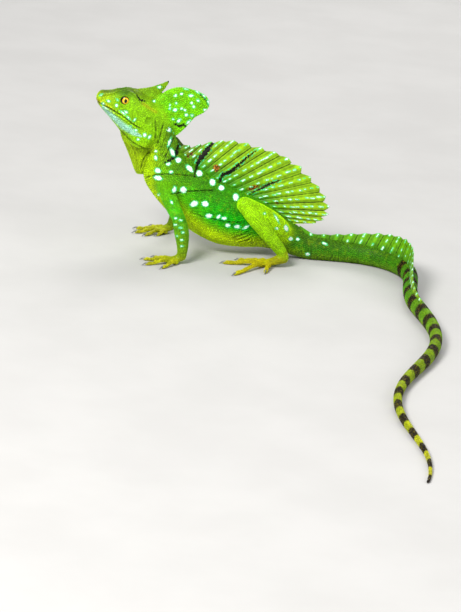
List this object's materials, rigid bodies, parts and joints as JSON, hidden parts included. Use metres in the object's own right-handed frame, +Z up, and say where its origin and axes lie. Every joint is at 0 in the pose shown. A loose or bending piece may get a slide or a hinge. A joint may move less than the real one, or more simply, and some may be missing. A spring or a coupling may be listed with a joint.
{
  "type": "green basilisk lizard",
  "caption": "Life-size still model of an adult male plumed basilisk, sitting alert with raised head, tall back fin, head crests and a long banded tail laid on the floor.",
  "frame": {"origin": "centre of the model's box in plan, on the floor it stands on", "axes": "+Z is up, the head looks along -X, the animal's left side faces -Y, and the tail is laid out towards -Y"},
  "size_m": [0.3138, 0.618, 0.1526],
  "materials": {
    "skin_green": "scaly lizard skin, satin",
    "pouch": "thin folded skin, satin",
    "fins": "thin skin over rays, satin",
    "feet": "scaly lizard skin, satin",
    "tail_skin": "keeled scales in dark and green bands, satin",
    "eyes": "wet and glossy"
  },
  "bodies": {
    "root": {"head": "skin_green", "eye_left": "eyes", "eye_right": "eyes", "neck": "skin_green", "trunk": "skin_green", "hips": "skin_green", "throat_pouch": "pouch", "dorsal_fin": "fins", "tail_fin_1": "fins", "tail_fin_2": "fins", "crest_front": "fins", "crest_rear": "fins", "tail_1": "tail_skin", "tail_2": "tail_skin", "tail_3": "tail_skin", "tail_4": "tail_skin", "tail_5": "tail_skin", "tail_6": "tail_skin", "arm_left": "skin_green", "forearm_left": "skin_green", "thigh_left": "skin_green", "shank_left": "skin_green", "hand_left": "feet", "foot_left": "feet", "arm_right": "skin_green", "forearm_right": "skin_green", "thigh_right": "skin_green", "shank_right": "skin_green", "hand_right": "feet", "foot_right": "feet", "tail_7": "tail_skin", "tail_8": "tail_skin", "tail_fin_3": "fins"}
  },
  "joints": []
}
